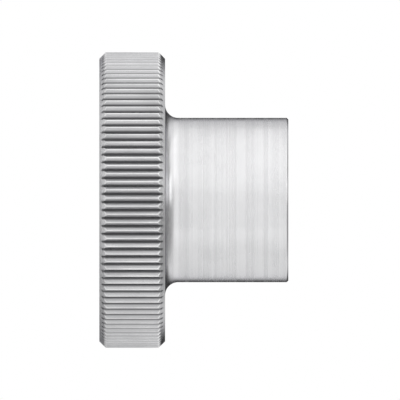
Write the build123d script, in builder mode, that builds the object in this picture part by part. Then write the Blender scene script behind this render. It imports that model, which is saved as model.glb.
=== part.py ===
from build123d import *
from math import pi, radians, sqrt, tan
import os

# Knurled thumb nut of the high form, M10, turned in one piece from steel bar.
# A broad straight-knurled head is gripped between finger and thumb, and a plain collar carries it
# clear of the surface that the nut clamps. The thread runs right through both.
#
# Frame: the origin is at the centre of the head's outer face, on which the nut stands.
# +Z runs along the thread's axis and leaves through the collar's bearing face.
# All sizes are in millimetres and degrees.

# Thread: ISO metric coarse, given here as its plain tapping bore with a countersink at each mouth.
thread_diameter = 10.0
thread_pitch = 1.5
countersink_diameter = 10.5
countersink_angle = 120.0

# Head
head_diameter = 36.0
head_thickness = 8.0
head_chamfer = 0.8

# Collar
collar_diameter = 20.0
collar_length = 15.0
collar_fillet = 1.6
edge_break = 0.2

# Straight knurl, cut over the whole width of the head and out through both chamfers.
knurl_pitch = 1.0
groove_angle = 90.0
groove_root_width = 0.06
tooth_crest_width = 0.12

# Derived sizes
nut_height = head_thickness + collar_length
head_radius = head_diameter / 2
collar_radius = collar_diameter / 2

# An internal thread's crests lie 5/8 of its sharp height inside the nominal diameter.
thread_sharp_height = thread_pitch * sqrt(3) / 2
bore_radius = thread_diameter / 2 - thread_sharp_height * 5 / 8

# The pitch is rounded to a whole number of teeth round the head.
tooth_count = round(pi * head_diameter / knurl_pitch)
tooth_pitch = pi * head_diameter / tooth_count
groove_mouth_width = tooth_pitch - tooth_crest_width
flank_run = tan(radians(groove_angle / 2))
groove_depth = (groove_mouth_width - groove_root_width) / 2 / flank_run
# The cutter stands this far outside the head, less than would bring two grooves together.
cutter_stand_off = tooth_crest_width / 4 / flank_run


with BuildPart() as knurled_thumb_nut:
    # The blank: half a lengthwise section, turned about the thread's axis.
    with BuildSketch(Plane.XZ) as blank_section:
        Rectangle(head_radius, head_thickness, align=(Align.MIN, Align.MIN))
        Rectangle(collar_radius, nut_height, align=(Align.MIN, Align.MIN))
        head_corners = blank_section.vertices().group_by(Axis.X)[-1]
        chamfer(head_corners, head_chamfer)
        inside_corner = blank_section.vertices().sort_by_distance((collar_radius, head_thickness))[0]
        fillet(inside_corner, collar_fillet)
        bearing_corner = blank_section.vertices().sort_by_distance((collar_radius, nut_height))[0]
        chamfer(bearing_corner, edge_break)
    revolve(axis=Axis.Z)

    # The knurl: one V groove with a narrow flat root, repeated round the head.
    with BuildSketch() as knurl_grooves:
        with PolarLocations(head_radius - groove_depth, tooth_count):
            Trapezoid(
                groove_root_width + 2 * (groove_depth + cutter_stand_off) * flank_run,
                groove_depth + cutter_stand_off,
                90 - groove_angle / 2,
                rotation=90,
                align=(Align.CENTER, Align.MAX),
            )
    extrude(amount=head_thickness, mode=Mode.SUBTRACT)

    # The tapping bore, countersunk from the bearing face and from the head's outer face.
    bearing_mouth = Plane.XY.offset(nut_height)
    head_mouth = Plane.XY.rotated((180, 0, 0))
    with Locations(bearing_mouth.location):
        CounterSinkHole(bore_radius, countersink_diameter / 2, counter_sink_angle=countersink_angle)
    with Locations(head_mouth.location):
        CounterSinkHole(bore_radius, countersink_diameter / 2, counter_sink_angle=countersink_angle)

knurled_thumb_nut.part.label = "knurled_thumb_nut"

os.makedirs("parts", exist_ok=True)
export_step(knurled_thumb_nut.part, "parts/knurled_thumb_nut.step")
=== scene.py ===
"""Knurled thumb nut: its fine surface, its thread and its finish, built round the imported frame.

The frame holds the nut with a plain bore where the thread belongs. Here it is worked out again as
one closed surface: the turned head and collar, the straight knurl with worn crests, and the
right-hand thread with its countersinks. Each stretch then gets the finish that its tool leaves.

Lengths are in millimetres and angles in radians until a mesh is made, which is in metres.
"""

import logging
from dataclasses import dataclass, field
from enum import Enum
from math import pi, radians, sqrt, tan

import bmesh
import bpy
import numpy as np
from bpy.types import Material, Mesh, Node, NodeOutputs, NodeSocket, NodeTree, Object
from mathutils import Matrix, Vector


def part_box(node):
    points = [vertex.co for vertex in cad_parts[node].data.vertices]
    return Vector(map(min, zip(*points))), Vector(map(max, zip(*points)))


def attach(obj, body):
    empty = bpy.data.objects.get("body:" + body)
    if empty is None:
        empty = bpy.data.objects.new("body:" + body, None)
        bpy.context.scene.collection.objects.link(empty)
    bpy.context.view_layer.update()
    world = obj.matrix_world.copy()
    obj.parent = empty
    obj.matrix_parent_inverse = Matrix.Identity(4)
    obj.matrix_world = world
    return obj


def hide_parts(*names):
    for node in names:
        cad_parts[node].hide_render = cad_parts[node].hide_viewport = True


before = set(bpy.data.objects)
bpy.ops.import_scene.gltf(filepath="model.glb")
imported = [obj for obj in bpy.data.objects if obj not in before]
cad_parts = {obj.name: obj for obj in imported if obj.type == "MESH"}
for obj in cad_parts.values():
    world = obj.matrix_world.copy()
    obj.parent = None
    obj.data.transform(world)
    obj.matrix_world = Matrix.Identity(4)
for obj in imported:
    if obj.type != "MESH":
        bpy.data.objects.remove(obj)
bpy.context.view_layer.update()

log = logging.getLogger("thumb_nut")

MM = 0.001  # One millimetre in metres, the unit of a mesh
FULL_TURN = 2 * pi
NODE = "knurled_thumb_nut"

Array = np.ndarray
Pair = tuple[float, float]
Triple = tuple[float, float, float]


class Finish(Enum):
    """What the surface was cut with. The value is the finish's material slot on the mesh."""

    TURNED = 0
    KNURLED = 1
    THREADED = 2


# ------ Shapes ------


def rounded_path(corners: Array, rounding: Array, steps: int) -> Array:
    """Round the inner corners of an open path.

    Where the path turns by an angle a, an arc of radius q touches both sides at q * tan(a / 2) from
    the corner. With u the direction of the side before, n the direction at right angles to it on
    the side of the turn, and t running from 0 to a, the arc is
    corner - u * q * tan(a / 2) + u * q * sin(t) + n * q * (1 - cos(t)).

    Args:
        corners: The path's corners with both its ends, one pair of coordinates a row.
        rounding: The radius at each inner corner.
        steps: How many straight pieces stand for each arc.

    Returns:
        The arcs' points, one arc after the other.
    """
    sides = np.diff(corners, axis=0)
    sides /= np.linalg.norm(sides, axis=1, keepdims=True)
    before, after = sides[:-1], sides[1:]
    across = np.stack([-before[:, 1], before[:, 0]], axis=1)
    turn = np.arctan2((across * after).sum(axis=1), (before * after).sum(axis=1))
    inward = across * np.sign(turn)[:, None]
    reach = rounding * np.tan(np.abs(turn) / 2)
    swing = np.linspace(0, 1, steps + 1)[None, :, None] * np.abs(turn)[:, None, None]
    start = corners[1:-1] - before * reach[:, None]
    forward = before[:, None] * rounding[:, None, None] * np.sin(swing)
    sideways = inward[:, None] * rounding[:, None, None] * (1 - np.cos(swing))
    return (start[:, None] + forward + sideways).reshape(-1, 2)


def around_axis(radius: Array | float, angle: Array, height: Array | float) -> Array:
    """Give points round the axis: radius * cos(angle), radius * sin(angle), height."""
    parts = np.broadcast_arrays(radius * np.cos(angle), radius * np.sin(angle), height)
    return np.stack(parts, axis=-1)


def read_numbers(items: bpy.types.bpy_prop_collection, name: str, width: int = 1) -> Array:
    """Read one value of every item of a mesh.

    Args:
        items: The mesh's points, faces, corners or values.
        name: Name of the value.
        width: How many numbers the value holds.

    Returns:
        One number an item, or one row of numbers.
    """
    found = np.empty(len(items) * width)
    items.foreach_get(name, found)
    return found.reshape(-1, width) if width > 1 else found


def add_numbers(mesh: Mesh, name: str, values: Array) -> None:
    """Give each point of a mesh a number of that name, for materials to read."""
    layer = mesh.attributes.new(name, "FLOAT", "POINT")
    layer.data.foreach_set("value", values.ravel().astype(np.float32))


def add_object(name: str, data: bpy.types.ID) -> Object:
    """Put a mesh, lamp or camera into the scene and return its new object."""
    bpy.context.scene.collection.objects.link(obj := bpy.data.objects.new(name, data))
    return obj


@dataclass(frozen=True)
class Thread:
    """An ISO metric internal thread."""

    diameter: float = 10.0  # Nominal diameter
    pitch: float = 1.5  # Axial distance from one turn to the next
    crest_rounding: float = 0.04  # Radius on the edges of the crest, next to the bore
    root_rounding: float = 0.12  # Radius on the edges of the root
    arc_steps: int = 2  # Straight pieces in each of those radii

    @property
    def depth(self) -> float:
        """Radial height of the thread, five eighths of that of the sharp triangle."""
        return self.pitch * sqrt(3) / 2 * 5 / 8

    @property
    def crest_radius(self) -> float:
        """Radius of the bore between the turns."""
        return self.diameter / 2 - self.depth

    def section(self) -> tuple[Array, Array]:
        """Work out one turn's section.

        Seen lengthwise the crest is a quarter of a pitch wide and the root an eighth, and the
        flanks between them lean 30 degrees each way.

        Returns:
            The axial place of each point from the middle of a crest, and its radius.
        """
        crest, root = self.pitch / 8, self.pitch / 16
        middle = self.pitch / 2
        low, high = self.crest_radius, self.diameter / 2
        corners = np.array([
            (0, low), (crest, low), (middle - root, high),
            (middle + root, high), (self.pitch - crest, low), (self.pitch, low),
        ])
        rounding = np.array([
            self.crest_rounding, self.root_rounding, self.root_rounding, self.crest_rounding,
        ])
        return tuple(rounded_path(corners, rounding, self.arc_steps).T)

    def radius(self, along: Array) -> Array:
        """Give the radius at any axial distance from the middle of a crest."""
        place, radius = self.section()
        return np.interp(along, place, radius, period=self.pitch)


@dataclass(frozen=True)
class Knurl:
    """A straight knurl, given by its section across the axis."""

    teeth: int = 113  # Number of teeth round the head
    groove_angle: float = 90.0  # Angle between a groove's two flanks, in degrees
    crest_width: float = 0.12  # Flat left on top of a tooth
    root_width: float = 0.06  # Flat at the bottom of a groove
    crest_rounding: float = 0.07  # Radius on the edges of a crest
    root_rounding: float = 0.06  # Radius on the edges of a root
    arc_steps: int = 3  # Straight pieces in each of those radii
    wear: float = 0.022  # The most that a crest may have lost
    seed: int = 7  # Starts the draw that gives each crest its wear

    def groove_depth(self, head_radius: float) -> float:
        """Depth at which the flanks come down to the root's width."""
        pitch = FULL_TURN * head_radius / self.teeth
        return (pitch - self.crest_width - self.root_width) / 2 / tan(radians(self.groove_angle / 2))

    def columns(self, head_radius: float) -> tuple[Array, Array]:
        """Work out where the surface lies round the head.

        A tooth runs from the middle of one groove to the middle of the next. Its section is
        a path with four rounded corners. A worn crest is lower by its own small amount, and
        the flanks below it are lower in proportion, so that the root stays where it is.

        Args:
            head_radius: Radius of the head before it was knurled.

        Returns:
            The angle of each column of points, and how far it lies under the head's surface.
        """
        pitch = FULL_TURN * head_radius / self.teeth
        deep = self.groove_depth(head_radius)
        root, crest = self.root_width / 2, self.crest_width / 2
        corners = np.array([
            (0, deep), (root, deep), (pitch / 2 - crest, 0),
            (pitch / 2 + crest, 0), (pitch - root, deep), (pitch, deep),
        ])
        rounding = np.array([
            self.root_rounding, self.crest_rounding, self.crest_rounding, self.root_rounding,
        ])
        across, under = rounded_path(corners, rounding, self.arc_steps).T
        worn = np.random.default_rng(self.seed).triangular(0, 0, self.wear, self.teeth)[:, None]
        first_groove = np.arange(self.teeth)[:, None] * pitch
        angle = (first_groove + across) / head_radius
        return angle.ravel(), (worn + under * (deep - worn) / deep).ravel()


@dataclass(frozen=True)
class Station:
    """One corner of the nut's lengthwise outline."""

    radius: float  # Distance from the axis
    height: float  # Distance along the axis
    columns: int  # Number of points round the nut here
    rounding: float = 0.0  # Radius on the corner, or 0 where the outline runs straight on
    steps: int = 3  # Straight pieces in that radius
    follow: Pair = (0.0, 0.0)  # How far the corner moves outwards and along for each unit of groove depth


@dataclass
class Ring:
    """One row of points round the nut."""

    angle: Array  # Angle of each point
    radius: Array  # Distance of each point from the axis
    height: Array  # Distance of each point along the axis
    distance: float  # How far along the outline the ring lies
    edge: float = 0.0  # 1 on a rounded corner and 0 elsewhere
    sunk: Array | float = 0.0  # Groove depth at each point as a share of the whole, or 0 off the knurl

    def points(self) -> Array:
        """Give the ring's points."""
        return around_axis(self.radius, self.angle, self.height)


@dataclass
class Skin:
    """Collects the nut's surface and joins it into one closed mesh."""

    points: list[Array] = field(default_factory=list)  # Blocks of points
    # For each block, distance along the outline, edge and groove depth
    marks: list[Array] = field(default_factory=list)
    faces: list[Array] = field(default_factory=list)  # Blocks of faces, three or four corners wide
    finishes: list[Finish] = field(default_factory=list)  # The finish of each block of faces
    count: int = 0  # Number of points so far

    def add_points(self, points: Array, *marks: Array | float) -> Array:
        """Add a block of points.

        Args:
            points: One point a row.
            marks: Distance along the outline, edge and groove depth, for all or for each.

        Returns:
            The points' numbers in the mesh.
        """
        number = np.arange(self.count, self.count + len(points))
        spread = [np.broadcast_to(mark, len(points)) for mark in marks]
        self.points.append(points)
        self.marks.append(np.stack(spread, axis=1))
        self.count += len(points)
        return number

    def add_faces(self, corners: Array, finish: Finish) -> None:
        """Add a block of faces with the same number of corners each."""
        self.faces.append(corners)
        self.finishes.append(finish)

    def join(self, low: Array, high: Array, finish: Finish) -> None:
        """Join two rings with a band of faces.

        Rings of the same count are joined by four-cornered faces. Where one has twice as many
        points, each side of the coarse ring gets three triangles.

        Args:
            low: Numbers of the first ring's points.
            high: Numbers of the second ring's points.
            finish: The band's finish.
        """
        if len(low) == len(high):
            beside_low, beside_high = np.roll(low, -1), np.roll(high, -1)
            self.add_faces(np.stack([low, beside_low, beside_high, high], axis=1), finish)
            return
        coarse, fine = sorted((low, high), key=len)
        first, middle, last = fine[0::2], fine[1::2], np.roll(fine[0::2], -1)
        beside = np.roll(coarse, -1)
        for corners in ((coarse, first, middle), (coarse, middle, beside), (beside, middle, last)):
            self.add_faces(np.stack(corners, axis=1), finish)

    def build(self, name: str, merge: float) -> Object:
        """Make the mesh: merge the blocks where they meet and turn all faces outwards.

        Args:
            name: Name of the new object.
            merge: Points closer than this become one.

        Returns:
            The object, linked to the scene, with its place in its mesh.
        """
        sizes = np.concatenate([np.full(len(f), f.shape[1]) for f in self.faces])
        slots = np.concatenate([
            np.full(len(f), finish.value) for f, finish in zip(self.faces, self.finishes)
        ])
        mesh = bpy.data.meshes.new(name)
        mesh.vertices.add(self.count)
        mesh.vertices.foreach_set("co", np.concatenate(self.points).ravel() * MM)
        mesh.loops.add(int(sizes.sum()))
        mesh.loops.foreach_set("vertex_index", np.concatenate([f.ravel() for f in self.faces]))
        mesh.polygons.add(len(sizes))
        mesh.polygons.foreach_set("loop_start", np.concatenate([[0], np.cumsum(sizes)[:-1]]))
        mesh.polygons.foreach_set("material_index", slots)
        for layer, values in zip(("outline", "edge", "groove"), np.concatenate(self.marks).T):
            add_numbers(mesh, layer, values)
        mesh.update(calc_edges=True)
        work = bmesh.new()
        work.from_mesh(mesh)
        bmesh.ops.remove_doubles(work, verts=work.verts, dist=merge * MM)
        bmesh.ops.recalc_face_normals(work, faces=work.faces)
        work.to_mesh(mesh)
        work.free()
        mesh.validate()
        return add_object(name, mesh)


@dataclass(frozen=True)
class TurnedForm:
    """The head and collar: everything outside the two mouths of the bore."""

    head_radius: float  # Radius of the head over the knurl
    height: float  # Height of the whole nut
    head_thickness: float = 8.0  # Height of the head alone
    head_chamfer: float = 0.8  # Chamfer on both rims of the head
    collar_radius: float = 10.0  # Radius of the collar
    collar_fillet: float = 1.6  # Radius where the collar meets the head
    edge_break: float = 0.2  # Small chamfer on the collar's end
    mouth_radius: float = 5.25  # Radius of the countersinks at both ends of the bore
    mouth_angle: float = 120.0  # Full angle of those countersinks, in degrees
    fine_rounding: float = 0.05  # Radius left on every corner after deburring
    doublings: int = 4  # How often the number of points round the nut doubles from bore to knurl
    fillet_clear: float = 2.0  # How far out from the collar the doublings start, in radii of its fillet
    rim_clear: float = 0.5  # How far in from the head's rim they end
    fillet_steps: int = 14  # Straight pieces in the collar's fillet
    collar_steps: int = 6  # Bands along the collar
    end_rows: Pair = (0.8, 0.7)  # Where the count halves on the collar's end, as shares of its radius
    hold: float = 0.2  # Gap from each rounded corner to a row that keeps it local, at most
    hold_share: float = 0.15  # The same gap as a share of the shorter side at the corner, at most
    knurl: Knurl = Knurl()  # The knurl round the head

    def mouth_slope(self) -> float:
        """How much a countersink narrows for each unit of depth."""
        return tan(radians(self.mouth_angle / 2))

    def stations(self) -> list[Station]:
        """List the outline's corners, from the head's mouth round the outside to the collar's.

        The knurl needs sixteen points a tooth, and the bore only one. Between them the
        count doubles from ring to ring across the flat faces, where that leaves no trace.

        Returns:
            The corners in order.
        """
        head, collar, fine = self.head_radius, self.collar_radius, self.fine_rounding
        top, end = self.head_thickness, self.height
        rim, edge = head - self.head_chamfer, end - self.edge_break
        counts = [self.knurl.teeth * 2 ** power for power in range(self.doublings + 1)]
        once, twice, most = counts[0], counts[1], counts[-1]
        first_out, last_out = collar + self.fillet_clear * self.collar_fillet, rim - self.rim_clear
        steps_out = np.linspace(first_out, last_out, len(counts))
        outer_face = [Station(r, 0, n) for r, n in zip(steps_out, counts)]
        inner_face = [Station(r, top, n) for r, n in zip(steps_out[:0:-1], counts[:0:-1])]
        collar_rows = np.linspace(top + self.collar_fillet, edge, self.collar_steps + 1)[1:-1]
        return [
            Station(self.mouth_radius, 0, once, fine),
            *outer_face,
            Station(rim, 0, most, fine),
            Station(head, self.head_chamfer, most, fine, follow=(-1, -1)),
            Station(head, top / 2, most, follow=(-1, 0)),
            Station(head, top - self.head_chamfer, most, fine, follow=(-1, 1)),
            Station(rim, top, most, fine),
            *inner_face,
            Station(collar, top, twice, self.collar_fillet, self.fillet_steps),
            *(Station(collar, z, twice) for z in collar_rows),
            Station(collar, edge, twice, fine),
            Station(collar - self.edge_break, end, twice, fine),
            *(Station(collar * share, end, n) for share, n in zip(self.end_rows, (twice, once))),
            Station(self.mouth_radius, end, once, fine),
        ]

    def rings(self) -> list[Ring]:
        """Turn the stations into rings.

        Each corner becomes its arc with one more point a short way before and after it, so
        that light bends round the corner and nowhere else. For the corners at the mouths, the
        outline runs on down each countersink until it is 1 mm narrower.

        Returns:
            The rings in the outline's order.
        """
        stations = self.stations()
        narrow, deeper = self.mouth_radius - 1, 1 / self.mouth_slope()
        places = ((station.radius, station.height) for station in stations)
        corners = np.array([(narrow, deeper), *places, (narrow, self.height - deeper)])
        sides = np.diff(corners, axis=0)
        length = np.linalg.norm(sides, axis=1)
        sides /= length[:, None]
        hold = np.minimum(self.hold, self.hold_share * np.minimum(length[:-1], length[1:]))
        knurl_angle, under = self.knurl.columns(self.head_radius)
        deep = self.knurl.groove_depth(self.head_radius)
        rings, travelled, last = [], 0.0, None
        for index, station in enumerate(stations):
            around = corners[index:index + 3]
            radius = np.array([station.rounding])
            path = rounded_path(around, radius, station.steps) if station.rounding else around[1:2]
            edge = np.full(len(path), float(0 < station.rounding <= self.fine_rounding))
            if station.rounding:
                before = path[0] - sides[index] * hold[index]
                after = path[-1] + sides[index + 1] * hold[index]
                path = np.vstack([before, path, after])
                edge = np.concatenate([[0], edge, [0]])
            fine = station.columns == len(knurl_angle)
            angle = knurl_angle if fine else np.arange(station.columns) * FULL_TURN / station.columns
            moved = np.array(station.follow)[:, None] * under if fine else np.zeros((2, 1))
            sunk = under / deep * float(station.follow[0] != 0) if fine else 0.0
            for point, on_edge in zip(path, edge):
                travelled += 0.0 if last is None else float(np.linalg.norm(point - last))
                last = point
                level = np.ones_like(angle)
                rings.append(Ring(
                    angle, level * point[0] + moved[0], level * point[1] + moved[1],
                    travelled, on_edge, sunk,
                ))
        return rings


@dataclass(frozen=True)
class ThreadedBore:
    """The thread, as far as the countersinks at both ends of the bore leave it standing."""

    form: TurnedForm  # The outside of the nut
    thread: Thread  # The thread
    columns: int  # Number of points round the bore
    halvings: int = 40  # How often the search for the thread's ends is narrowed down
    spare: int = 2  # Turns worked out beyond either end

    def cone(self, height: Array) -> Array:
        """Give the radius of whichever countersink is wider at a height."""
        depth = np.minimum(height, self.form.height - height)
        return self.form.mouth_radius - depth * self.form.mouth_slope()

    def lift(self) -> Array:
        """How far each column's turns stand above the first column's: pitch * angle / full turn."""
        return self.thread.pitch * np.arange(self.columns) / self.columns

    def meeting(self, start: float, stop: float) -> Array:
        """Find where the thread comes out of a countersink, in each column.

        From the mouth inwards the cone narrows at least as fast as any flank, so the thread
        comes out of it once. The place is found by halving the stretch again and again.

        Args:
            start: A height where every column is still on the cone.
            stop: A height where every column is past it.

        Returns:
            The height in each column.
        """
        near, far = np.full(self.columns, start), np.full(self.columns, stop)
        for _ in range(self.halvings):
            middle = (near + far) / 2
            past = self.thread.radius(middle - self.lift()) > self.cone(middle)
            near, far = np.where(past, near, middle), np.where(past, middle, far)
        return far

    def add_to(self, skin: Skin, first_mouth: Array, last_mouth: Array, distance: float) -> None:
        """Add the thread between the two mouths.

        A point of the section at u, k turns up, lies at height pitch * k + u + lift. A row
        that goes once round the bore meets the row one section further on, which makes the
        helix. Rows that would lie outside the thread stop where it meets the countersink.
        The outline's distance runs on into the bore from either mouth and breaks half way.

        Args:
            skin: The surface to add to.
            first_mouth: Numbers of the ring at the head's mouth, where the outline starts.
            last_mouth: Numbers of the ring at the collar's mouth.
            distance: How far along the outline the collar's mouth lies.
        """
        half = self.form.height / 2
        low = self.meeting(0.0, half)
        high = self.meeting(self.form.height, half)
        place, _ = self.thread.section()
        turns = np.arange(-self.spare, int(self.form.height / self.thread.pitch) + self.spare + 1)
        rows = (turns[:, None] * self.thread.pitch + place).ravel()
        angle = np.arange(self.columns) * FULL_TURN / self.columns
        height = np.clip(rows[:, None] + self.lift(), low, high)
        radius = self.thread.radius(height - self.lift())
        points = around_axis(radius, angle, height).reshape(-1, 3)
        sunk = (radius.ravel() - self.thread.crest_radius) / self.thread.depth
        along = np.where(height < half, -height, distance + self.form.height - height)
        number = skin.add_points(points, along.ravel(), 0.0, sunk).reshape(height.shape)
        lead = len(place)
        left = number[:-lead]
        right = np.hstack([left[:, 1:], number[lead:, :1]])
        corners = np.stack([left[:-1], right[:-1], right[1:], left[1:]], axis=2)
        skin.add_faces(corners.reshape(-1, 4), Finish.THREADED)
        skin.join(first_mouth, number[0], Finish.TURNED)
        skin.join(number[-1], last_mouth, Finish.TURNED)


@dataclass(frozen=True)
class FlatMap:
    """The nut's surface laid out flat, on which its finishes can be baked.

    Round the nut is across the map and along the outline is up it, so that the grain of every
    finish keeps its direction. The turned faces are one strip and the thread is another. The
    knurl is cut into several, one above the other, which leaves its teeth wide enough.
    """

    name: str = "OFBake"  # The name of the map. The name that the export looks for
    gap: float = 0.008  # Room left between the strips and at their ends
    turned: float = 0.58  # Height of the turned faces' strip, with the map's as 1
    knurled: float = 0.055  # Height of each of the knurl's strips
    threaded: float = 0.14  # Height of the thread's strip
    strips: int = 4  # Number of strips for the knurl

    def add_to(self, mesh: Mesh) -> None:
        """Lay the mesh out.

        A corner's place across is its angle as a share of a turn. Where a face lies over the
        end of a turn, its corners past the end count one turn more.

        Args:
            mesh: The nut's mesh, with its marks and finishes.
        """
        points = read_numbers(mesh.vertices, "co", 3) / MM
        outline = read_numbers(mesh.attributes["outline"].data, "value")
        corner = read_numbers(mesh.loops, "vertex_index").astype(int)
        start, size, slot = (read_numbers(mesh.polygons, name).astype(int)
                             for name in ("loop_start", "loop_total", "material_index"))
        face = np.repeat(np.arange(len(start)), size)
        x, y, height = points[corner].T
        across = np.arctan2(y, x) / FULL_TURN % 1
        half_turn = 0.5
        across += across < np.maximum.reduceat(across, start)[face] - half_turn
        turned, knurled, threaded = (slot[face] == finish.value for finish in Finish)
        along = outline[corner]
        ends = along[turned].min(), along[turned].max()
        knurl = along[knurled].min(), along[knurled].max()
        before, after = knurl[0] - ends[0], ends[1] - knurl[1]
        middle = before / (before + after)
        up = np.interp(along, (ends[0], *knurl, ends[1]), (0, middle, middle, 1)) * self.turned
        strip = np.add.reduceat(across, start)[face] / size[face] * self.strips
        strip = np.minimum(strip.astype(int), self.strips - 1)
        low = self.turned + self.gap + strip * (self.knurled + self.gap)
        up = np.where(knurled, low + np.interp(along, knurl, (0, self.knurled)), up)
        across = np.where(knurled, across * self.strips - strip, across)
        low = self.turned + self.gap + self.strips * (self.knurled + self.gap)
        depth = 1 - height / height.max()
        up = np.where(threaded, low + depth * self.threaded, up)
        place = np.stack([self.gap + across * (1 - 2 * self.gap), self.gap + up], axis=1)
        layer = mesh.uv_layers.new(name=self.name)
        layer.uv.foreach_set("vector", place.astype(np.float32).ravel())


# ------ Finishes ------


@dataclass(frozen=True)
class Nodes:
    """Short ways to add nodes to one node tree."""

    tree: NodeTree  # The tree of a material, a world or a group

    def put(self, node: Node, inputs: dict) -> Node:
        """Fill in a node's inputs.

        Args:
            node: The node.
            inputs: A value, or another node's output, for each named or numbered input.

        Returns:
            The same node.
        """
        for name, value in inputs.items():
            if isinstance(value, NodeSocket):
                self.tree.links.new(value, node.inputs[name])
            else:
                node.inputs[name].default_value = value
        return node

    def add(self, kind: str, inputs: dict | None = None, **settings: object) -> Node:
        """Add a node.

        Args:
            kind: Blender's name for the node, without ShaderNode.
            inputs: What its inputs get, as for put.
            settings: Values for the node's own properties.

        Returns:
            The new node.
        """
        node = self.tree.nodes.new(kind if kind.startswith("Node") else "ShaderNode" + kind)
        for name, value in settings.items():
            setattr(node, name, value)
        return self.put(node, inputs or {})

    def place(self) -> NodeSocket:
        """Read the place on the object, in metres."""
        return self.add("TexCoord").outputs["Object"]

    def number(self, name: str) -> NodeSocket:
        """Read a number that the mesh holds at each of its points."""
        return self.add("Attribute", attribute_name=name).outputs["Fac"]

    def maths(self, operation: str, *values: object, clamp: bool = False) -> NodeSocket:
        """Add a Math node and return its output."""
        inputs = dict(enumerate(values))
        return self.add("Math", inputs, operation=operation, use_clamp=clamp).outputs[0]

    def spread(self, value: object, low: float, high: float, start: float = 0.0,
               stop: float = 1.0) -> NodeSocket:
        """Map low..high smoothly onto start..stop and return the output."""
        inputs = {"Value": value, "From Min": low, "From Max": high, "To Min": start, "To Max": stop}
        return self.add("MapRange", inputs, interpolation_type="SMOOTHSTEP").outputs["Result"]

    def mix(self, share: object, first: object, second: object) -> NodeSocket:
        """Mix two colours, given as values or as outputs, and return the output."""
        # A Mix node has its numbers at inputs 2 and 3, and its colours at inputs 6 and 7.
        first, second = ((*part, 1) if isinstance(part, tuple) else part for part in (first, second))
        return self.add("Mix", {0: share, 6: first, 7: second}, data_type="RGBA").outputs[2]


def new_material(name: str) -> tuple[Material, Nodes]:
    """Start a material.

    Args:
        name: Name of the material.

    Returns:
        The material and its nodes.
    """
    material = bpy.data.materials.new(name)
    material.use_nodes = True
    return material, Nodes(material.node_tree)


def new_group(name: str, inputs: dict[str, float],
              outputs: tuple[str, ...]) -> tuple[Nodes, NodeOutputs, Node]:
    """Start a shader node group.

    Args:
        name: Name of the group.
        inputs: Its number inputs with their usual values.
        outputs: Its number outputs.

    Returns:
        The group's nodes, what comes in, and the node that takes what goes out.
    """
    tree = bpy.data.node_groups.new(name, "ShaderNodeTree")
    for label, value in inputs.items():
        socket = tree.interface.new_socket(label, in_out="INPUT", socket_type="NodeSocketFloat")
        socket.default_value = value
    for label in outputs:
        tree.interface.new_socket(label, in_out="OUTPUT", socket_type="NodeSocketFloat")
    nodes = Nodes(tree)
    return nodes, nodes.add("NodeGroupInput").outputs, nodes.add("NodeGroupOutput")


@dataclass(frozen=True)
class ToolMarks:
    """Fine parallel lines left by a cutting edge: a group that materials share."""

    lines: Triple = (0.33, 4.0, 0.7)  # Scale, detail and roughness of the noise that makes the lines
    streaks: Triple = (0.11, 5.0, 0.8)  # The same for the slower noise that gathers lines into streaks
    contrast: Pair = (0.38, 0.62)  # Where in the slower noise a streak starts, and where it is full

    def build(self) -> NodeTree:
        """Make the group.

        One-dimensional noise of the distance across the lines gives them many widths at once.

        Returns:
            The group, with Across in millimetres, Feed, and outputs Height and Streak.
        """
        nodes, entry, leave = new_group("tool_marks", {"Across": 0.0, "Feed": 0.1}, ("Height", "Streak"))
        turns = nodes.maths("DIVIDE", entry["Across"], entry["Feed"])
        fine, slow = (
            nodes.add("TexNoise", {"W": turns, "Scale": scale, "Detail": detail, "Roughness": rough},
                      noise_dimensions="1D").outputs[0]
            for scale, detail, rough in (self.lines, self.streaks)
        )
        nodes.put(leave, {"Height": fine, "Streak": nodes.spread(slow, *self.contrast)})
        return nodes.tree


@dataclass(frozen=True)
class Handling:
    """Faint clouds and grain that handling and storage leave: a group that materials share."""

    size: float = 6.0  # Usual size of a cloud
    detail: Triple = (4.0, 0.62, 0.4)  # Detail, roughness and distortion of the clouds
    contrast: Pair = (0.35, 0.68)  # Where in the noise a cloud starts, and where it is full
    grains: float = 14.0  # Number of grains in a millimetre
    grain_detail: float = 2.0  # Detail of the grain

    def build(self) -> NodeTree:
        """Make the group.

        Returns:
            The group, with Size in millimetres, and outputs Cloud and Grain.
        """
        nodes, entry, leave = new_group("handling", {"Size": self.size}, ("Cloud", "Grain"))
        place = nodes.place()
        scale = nodes.maths("DIVIDE", 1 / MM, entry["Size"])
        detail, rough, bent = self.detail
        cloud = nodes.add("TexNoise", {"Vector": place, "Scale": scale, "Detail": detail,
                                       "Roughness": rough, "Distortion": bent}).outputs[0]
        grain = nodes.add("TexNoise", {"Vector": place, "Scale": self.grains / MM,
                                       "Detail": self.grain_detail}).outputs[0]
        nodes.put(leave, {"Cloud": nodes.spread(cloud, *self.contrast), "Grain": grain})
        return nodes.tree


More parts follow.
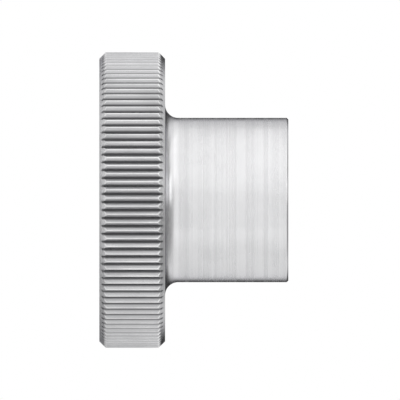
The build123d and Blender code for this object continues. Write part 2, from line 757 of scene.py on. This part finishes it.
@dataclass(frozen=True)
class WearAndHighlight:
    """Bright metal where hands and tools rub corners and crests, which on the crests is also a painted
    highlight: a group that materials share.
    """

    edge_full: float = 0.9  # Share of a corner's mark at which it is fully rubbed
    crest_depth: float = 0.14  # Share of a groove's depth down to which its crests are rubbed and get the painted highlight
    patches: float = 0.5  # How much of the wear a cloud takes away

    def build(self) -> NodeTree:
        """Make the group: the larger of edge and crest, times 1 - patches * cloud.

        Returns:
            The group, with Edge, Groove, Crests (how far crests count) and Cloud, which breaks
            the wear up, and the output Wear, which on crests is also a painted highlight.
        """
        names = {"Edge": 0.0, "Groove": 1.0, "Crests": 0.0, "Cloud": 0.5}
        nodes, entry, leave = new_group("wear_and_highlight", names, ("Wear",))
        edge = nodes.spread(entry["Edge"], 0.0, self.edge_full)
        crest = nodes.spread(entry["Groove"], 0.0, self.crest_depth, 1.0, 0.0)
        crest = nodes.maths("MULTIPLY", crest, entry["Crests"])
        # Rubbed corners, and crests that are rubbed and get a painted highlight.
        rubbed = nodes.maths("MAXIMUM", edge, crest)
        broken = nodes.maths("MULTIPLY_ADD", entry["Cloud"], -self.patches, 1.0)
        nodes.put(leave, {"Wear": nodes.maths("MULTIPLY", rubbed, broken)})
        return nodes.tree


@dataclass(frozen=True)
class Steel:
    """One finish of the nut's steel."""

    name: str  # Name of the material
    marks: NodeTree  # The tool marks group
    handling: NodeTree  # The handling group
    wear_and_highlight: NodeTree  # The wear and painted highlight group
    colour: Triple = (0.84, 0.84, 0.85)  # Colour of the clean metal
    shade: Triple = (0.70, 0.70, 0.71)  # Its duller colour, in streaks and clouds
    groove_shade_colour: Triple = (0.66, 0.66, 0.67)  # Painted shade: the colour it darkens to at the bottom of a groove
    groove_shade_start: float = 0.0  # Share of a groove's depth at which that painted shade starts
    worn: Triple = (0.94, 0.94, 0.945)  # Colour of rubbed metal, on crests also a painted highlight
    edge_tint: Triple = (0.5, 0.5, 0.52)  # Colour of the metal seen at a glancing angle
    roughness: Pair = (0.22, 0.34)  # Roughness of the clean and of the dull metal
    worn_roughness: float = 0.16  # Roughness of rubbed metal
    crests: float = 0.0  # How far the crests between grooves are rubbed and get a painted highlight, from 0 to 1
    feed: float = 0.12  # Distance between tool marks
    marks_height: float = 0.0024  # Height of the marks
    along_axis: bool = False  # True where the marks run along the axis, as on a knurl
    marks_radius: float = 18.0  # Radius at which such marks are the feed apart
    anisotropy: float = 0.6  # How much further light spreads across the marks than along them
    dulling: Pair = (0.5, 0.3)  # How much a streak and a cloud dull the metal
    grain: float = 0.25  # Height of the grain as a share of the marks' height

    def across(self, nodes: Nodes) -> NodeSocket:
        """Give the distance across the tool marks.

        Turning marks lie side by side along the outline. A knurl's marks lie side by side
        round the head, so there it is the angle about the axis times a radius.

        Args:
            nodes: The material's nodes.

        Returns:
            The output that gives the distance.
        """
        if not self.along_axis:
            return nodes.number("outline")
        parts = nodes.add("SeparateXYZ", {0: nodes.place()}).outputs
        angle = nodes.maths("ARCTAN2", parts["Y"], parts["X"])
        return nodes.maths("MULTIPLY", angle, self.marks_radius)

    def build(self) -> Material:
        """Make the material.

        On turned faces the spread of light is turned by a quarter, to lie across the marks.

        Returns:
            The material.
        """
        material, nodes = new_material(self.name)
        lines = {"Across": self.across(nodes), "Feed": self.feed}
        marks = nodes.add("Group", lines, node_tree=self.marks).outputs
        handling = nodes.add("Group", node_tree=self.handling).outputs
        groove = nodes.number("groove")
        rub_and_highlight = {"Edge": nodes.number("edge"), "Groove": groove, "Crests": self.crests,
                   "Cloud": handling["Cloud"]}
        wear = nodes.add("Group", rub_and_highlight, node_tree=self.wear_and_highlight).outputs["Wear"]
        by_streak, by_cloud = self.dulling
        dull = nodes.maths("MULTIPLY", marks["Streak"], by_streak)
        dull = nodes.maths("MULTIPLY_ADD", handling["Cloud"], by_cloud, dull)
        colour = nodes.mix(dull, self.colour, self.shade)
        # Rubbed wear on corners, and on crests also a painted highlight line.
        colour = nodes.mix(wear, colour, self.worn)
        # Painted shade: the colour darkens towards the bottom of each groove and thread root.
        deep = nodes.spread(groove, self.groove_shade_start, 1.0)
        colour = nodes.mix(deep, colour, self.groove_shade_colour)
        rough = nodes.spread(dull, 0.0, 1.0, *self.roughness)
        rough = nodes.add("Mix", {0: wear, 2: rough, 3: self.worn_roughness}, data_type="FLOAT")
        height = nodes.maths("MULTIPLY_ADD", handling["Grain"], self.grain, marks["Height"])
        bump = nodes.add("Bump", {"Height": height, "Distance": self.marks_height * MM})
        nodes.put(nodes.tree.nodes["Principled BSDF"], {
            "Base Color": colour, "Roughness": rough.outputs[0], "Normal": bump.outputs[0],
            "Metallic": 1.0, "Specular Tint": (*self.edge_tint, 1), "Anisotropic": self.anisotropy,
            "Anisotropic Rotation": 0.0 if self.along_axis else 0.25,
        })
        return material


# ------ The nut ------


@dataclass
class ThumbNut:
    """The whole nut: one solid, and so one mesh."""

    form: TurnedForm  # The turned outside
    thread: Thread = Thread()  # The thread through it
    merge: float = 0.0005  # Points closer than this are one
    sharp: float = 38.0  # Light breaks where two faces turn by more than this, in degrees

    def mesh(self) -> Object:
        """Build the closed surface: the outside, ring by ring, and the thread between its mouths.

        Returns:
            The nut, not yet dressed.
        """
        skin = Skin()
        rings = self.form.rings()
        numbers = [skin.add_points(r.points(), r.distance, r.edge, r.sunk) for r in rings]
        on_knurl = [np.any(ring.sunk) for ring in rings]
        for index in range(len(rings) - 1):
            knurled = on_knurl[index] and on_knurl[index + 1]
            finish = Finish.KNURLED if knurled else Finish.TURNED
            skin.join(numbers[index], numbers[index + 1], finish)
        bore = ThreadedBore(self.form, self.thread, self.form.knurl.teeth)
        bore.add_to(skin, numbers[0], numbers[-1], rings[-1].distance)
        return skin.build("thumb_nut", self.merge)

    def shade(self, obj: Object) -> None:
        """Give the mesh smooth light that breaks at true edges only.

        Each point's direction is the mean of its faces', weighted by their size, so a flat face
        stays flat right up to its rounded corner.

        Args:
            obj: The nut.
        """
        obj.data.shade_smooth()
        obj.data.set_sharp_from_angle(angle=radians(self.sharp))
        weigh = obj.modifiers.new("Face weights", "WEIGHTED_NORMAL")
        weigh.keep_sharp = True
        evaluated = obj.evaluated_get(bpy.context.evaluated_depsgraph_get())
        obj.data, unweighted = bpy.data.meshes.new_from_object(evaluated), obj.data
        obj.modifiers.clear()
        bpy.data.meshes.remove(unweighted)

    def dress(self, obj: Object) -> None:
        """Give each stretch of the surface its finish.

        Args:
            obj: The nut, whose faces name their finish by number.
        """
        groups = ToolMarks().build(), Handling().build(), WearAndHighlight().build()
        finishes = {
            Finish.TURNED: Steel("turned_steel", *groups),
            # The knurl's crests get rubbed wear with a painted highlight.
            Finish.KNURLED: Steel("knurled_steel", *groups, along_axis=True, anisotropy=0.3, crests=1.0,
                                  colour=(0.64, 0.64, 0.65), shade=(0.52, 0.52, 0.53),
                                  # A strong painted shade in the knurl's grooves.
                                  groove_shade_colour=(0.13, 0.13, 0.135), groove_shade_start=0.36,
                                  roughness=(0.26, 0.42)),
            # A painted shade at the roots of the thread.
            Finish.THREADED: Steel("threaded_steel", *groups, groove_shade_colour=(0.4, 0.4, 0.41),
                                   roughness=(0.26, 0.4), anisotropy=0.4),
        }
        for finish in Finish:
            obj.data.materials.append(finishes[finish].build())

    def build(self) -> Object:
        """Build, shade and dress the nut, and put it in the place of the plain solid.

        Returns:
            The nut.
        """
        obj = self.mesh()
        self.shade(obj)
        FlatMap().add_to(obj.data)
        self.dress(obj)
        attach(obj, "root")
        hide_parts(NODE)
        return obj


# ------ The studio ------


def towards(azimuth: Array | float, elevation: Array | float) -> Array:
    """Give a direction: cos(up) * sin(across), -cos(up) * cos(across), sin(up).

    Args:
        azimuth: Degrees from the camera towards its right hand.
        elevation: Degrees upwards.

    Returns:
        The direction, or one for each pair of angles.
    """
    across, up = np.radians(azimuth), np.radians(elevation)
    return np.stack([np.cos(up) * np.sin(across), -np.cos(up) * np.cos(across), np.sin(up)], axis=-1)


@dataclass(frozen=True)
class Lamp:
    """A softbox that faces the nut, and that no reflection shows."""

    name: str  # Name of the lamp
    azimuth: float  # Where it stands, in degrees from the camera towards its right hand
    elevation: float  # How high it stands, in degrees
    distance: float  # How far it stands from the nut
    size: Pair  # Its width and height
    power: float  # Its power in watts

    def build(self, target: Vector) -> None:
        """Make the lamp.

        Args:
            target: The point that it faces.
        """
        light = bpy.data.lights.new(self.name, "AREA")
        light.shape = "RECTANGLE"
        light.size, light.size_y = (side * MM for side in self.size)
        light.energy = self.power
        lamp = add_object(self.name, light)
        back = Vector(towards(self.azimuth, self.elevation))
        lamp.location = target + back * self.distance * MM
        lamp.rotation_mode = "QUATERNION"
        lamp.rotation_quaternion = back.to_track_quat("Z", "Y")
        lamp.visible_camera = lamp.visible_glossy = False


@dataclass(frozen=True)
class Card:
    """A patch of a dome round the nut, dark or bright, for the metal to reflect.

    Only reflections show it, and all its sides are soft.
    """

    name: str  # Name of the card
    azimuth: Pair  # Where it starts and ends, in degrees from the camera towards its right hand
    elevation: Pair  # Where it starts and ends, in degrees
    brightness: float  # Its brightness, where the surround at the horizon has 1
    strength: float = 1.0  # How much of the surround its middle covers, from 0 to 1
    soft: float = 30.0  # How far in from each side it takes to reach that strength, in degrees
    distance: float = 300.0  # Radius of the dome
    grid: tuple[int, int] = (41, 21)  # Number of points across and up

    def build(self, middle: Vector) -> None:
        """Make the card: a grid of directions times the dome's radius.

        Args:
            middle: Centre of the dome.
        """
        (left, right), (low, high) = self.azimuth, self.elevation
        columns, rows = self.grid
        across, up = np.meshgrid(np.linspace(left, right, columns), np.linspace(low, high, rows))
        inside = np.minimum.reduce([across - left, right - across, up - low, high - up])
        points = towards(across, up).reshape(-1, 3) * self.distance * MM + np.array(middle)
        number = np.arange(len(points)).reshape(across.shape)
        corners = np.stack([
            number[:-1, :-1], number[:-1, 1:], number[1:, 1:], number[1:, :-1],
        ], axis=2).reshape(-1, 4)
        mesh = bpy.data.meshes.new(self.name)
        mesh.from_pydata(points.tolist(), [], corners.tolist())
        add_numbers(mesh, "cover", np.clip(inside / self.soft, 0, 1))
        mesh.materials.append(self.material())
        obj = add_object(self.name, mesh)
        obj.visible_camera = obj.visible_shadow = obj.visible_diffuse = False

    def material(self) -> Material:
        """Make the card's surface: clear at its sides, and its own brightness between them.

        Returns:
            The material.
        """
        material, nodes = new_material(self.name)
        nodes.tree.nodes.clear()
        share = nodes.spread(nodes.number("cover"), 0.0, 1.0, 0.0, self.strength)
        clear = nodes.add("BsdfTransparent").outputs[0]
        glow = nodes.add("Emission", {"Strength": self.brightness}).outputs[0]
        both = nodes.add("MixShader", {0: share, 1: clear, 2: glow})
        nodes.add("OutputMaterial", {"Surface": both.outputs[0]})
        return material


@dataclass(frozen=True)
class Studio:
    """A plain pale floor, a pale surround and soft light."""

    middle: Vector  # Centre of the nut
    view_width: float = 48.68  # Width that the camera sees
    view_shift: float = 0.75  # How far along the axis from the nut's centre the camera aims
    camera_distance: float = 150.0  # How far the camera stands from the nut
    clip: Pair = (0.001, 10.0)  # The nearest and the furthest that the camera sees, in metres
    floor_radius: float = 2000.0  # Radius of the floor
    floor_corners: int = 96  # Number of corners round it
    floor_gap: float = 0.02  # How far the floor lies under the nut, so that the two don't share a plane
    floor_grey: float = 0.80  # Colour of the floor
    floor_mottle: float = 0.01  # How much lighter and darker than that it gets
    mottle: Pair = (40.0, 3.0)  # Scale and detail of that
    floor_roughness: float = 0.8  # Roughness of the floor
    # How high three levels of the surround lie, from 0 to 1, and their brightness
    surround: tuple[Pair, ...] = ((0.15, 1.0), (0.5, 0.95), (0.9, 0.36))
    dim: float = 0.8  # Strength of the surround's light where no camera or reflection sees it
    # What else the metal reflects
    cards: tuple[Card, ...] = (
        Card("dark_back", (134, 222), (-40, 58), brightness=0.03),
        Card("dim_side", (40, 150), (-40, 70), brightness=0.03, strength=0.14, soft=45),
        Card("bright_key", (-120, -10), (-10, 75), brightness=1.2),
        Card("bright_top", (-70, 10), (52, 82), brightness=2.0, soft=12),
    )
    # The lamps
    lamps: tuple[Lamp, ...] = (
        Lamp("key", -60, 40, 700, (600, 600), 3.2),
        Lamp("fill", 40, 40, 700, (500, 500), 1.1),
    )

    def build_floor(self) -> None:
        """Make the floor: a disc that is clear to all light from below."""
        angle = np.arange(self.floor_corners) * FULL_TURN / self.floor_corners
        rim = around_axis(self.floor_radius, angle, -self.floor_gap)
        mesh = bpy.data.meshes.new("floor")
        mesh.from_pydata((rim * MM).tolist(), [], [list(range(len(rim)))])
        material, nodes = new_material("pale_floor")
        scale, detail = self.mottle
        mottle = nodes.add("TexNoise", {"Vector": nodes.place(), "Scale": scale, "Detail": detail})
        low, high = self.floor_grey - self.floor_mottle, self.floor_grey + self.floor_mottle
        colour = nodes.mix(mottle.outputs[0], (low, low, low), (high, high, high))
        floor = {"Base Color": colour, "Roughness": self.floor_roughness}
        shader = nodes.put(nodes.tree.nodes["Principled BSDF"], floor)
        behind = nodes.add("NewGeometry").outputs["Backfacing"]
        passed = nodes.add("LightPath").outputs["Transparent Depth"]
        behind = nodes.maths("ADD", behind, passed, clamp=True)
        clear = nodes.add("BsdfTransparent").outputs[0]
        both = nodes.add("MixShader", {0: behind, 1: shader.outputs[0], 2: clear})
        nodes.put(nodes.tree.nodes["Material Output"], {"Surface": both.outputs[0]})
        mesh.materials.append(material)
        add_object("floor", mesh)

    def build_surround(self) -> None:
        """Make the world, brightest at the horizon and below it and dimmer overhead.

        Where the camera looks straight at it, it is white.
        """
        world = bpy.data.worlds.new("surround")
        world.use_nodes = True
        nodes = Nodes(world.node_tree)
        direction = nodes.add("TexCoord").outputs["Generated"]
        up = nodes.add("SeparateXYZ", {0: direction}).outputs["Z"]
        ramp = nodes.add("ValToRGB", {0: nodes.maths("MAXIMUM", up, 0.0)})
        ramp.color_ramp.interpolation = "EASE"
        stops = ramp.color_ramp.elements
        stops.new(self.surround[1][0])
        for stop, (height, level) in zip(stops, self.surround):
            stop.position, stop.color = height, (level, level, level, 1)
        path = nodes.add("LightPath").outputs
        seen = nodes.maths("ADD", path["Is Camera Ray"], path["Is Glossy Ray"])
        seen = nodes.maths("ADD", seen, path["Is Transmission Ray"], clamp=True)
        nodes.put(nodes.tree.nodes["Background"], {
            "Color": nodes.mix(path["Is Camera Ray"], ramp.outputs[0], (1, 1, 1)),
            "Strength": nodes.maths("MULTIPLY_ADD", seen, 1.0 - self.dim, self.dim),
        })
        bpy.context.scene.world = world

    def build_camera(self) -> None:
        """Make the camera: square on to the axis, with the collar to the right of the head."""
        data = bpy.data.cameras.new("camera")
        data.type, data.ortho_scale = "ORTHO", self.view_width * MM
        data.clip_start, data.clip_end = self.clip
        camera = add_object("camera", data)
        right, up, back = Vector((0, 0, 1)), Vector((-1, 0, 0)), Vector((0, -1, 0))
        turn = Matrix((right, up, back)).transposed().to_4x4()
        place = self.middle + (right * self.view_shift + back * self.camera_distance) * MM
        camera.matrix_world = Matrix.Translation(place) @ turn
        bpy.context.scene.camera = camera

    def build(self) -> None:
        """Set up floor, surround, camera, cards and lamps."""
        self.build_floor()
        self.build_surround()
        self.build_camera()
        for item in (*self.cards, *self.lamps):
            item.build(self.middle)
        bpy.context.scene.view_settings.view_transform = "Standard"


def main() -> None:
    """Build the nut and the studio round it, and report each piece."""
    logging.basicConfig(level=logging.INFO, format="%(name)s: %(message)s")
    low, high = (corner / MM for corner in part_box(NODE))
    form = TurnedForm(head_radius=(high.y - low.y) / 2, height=high.z - low.z)
    nut = ThumbNut(form).build()
    log.info("%s: %d points, %d faces", nut.name, len(nut.data.vertices), len(nut.data.polygons))
    studio = Studio(middle=(low + high) / 2 * MM)
    studio.build()
    log.info("studio: %d cards and %d lamps", len(studio.cards), len(studio.lamps))


if __name__ == "__main__":
    main()
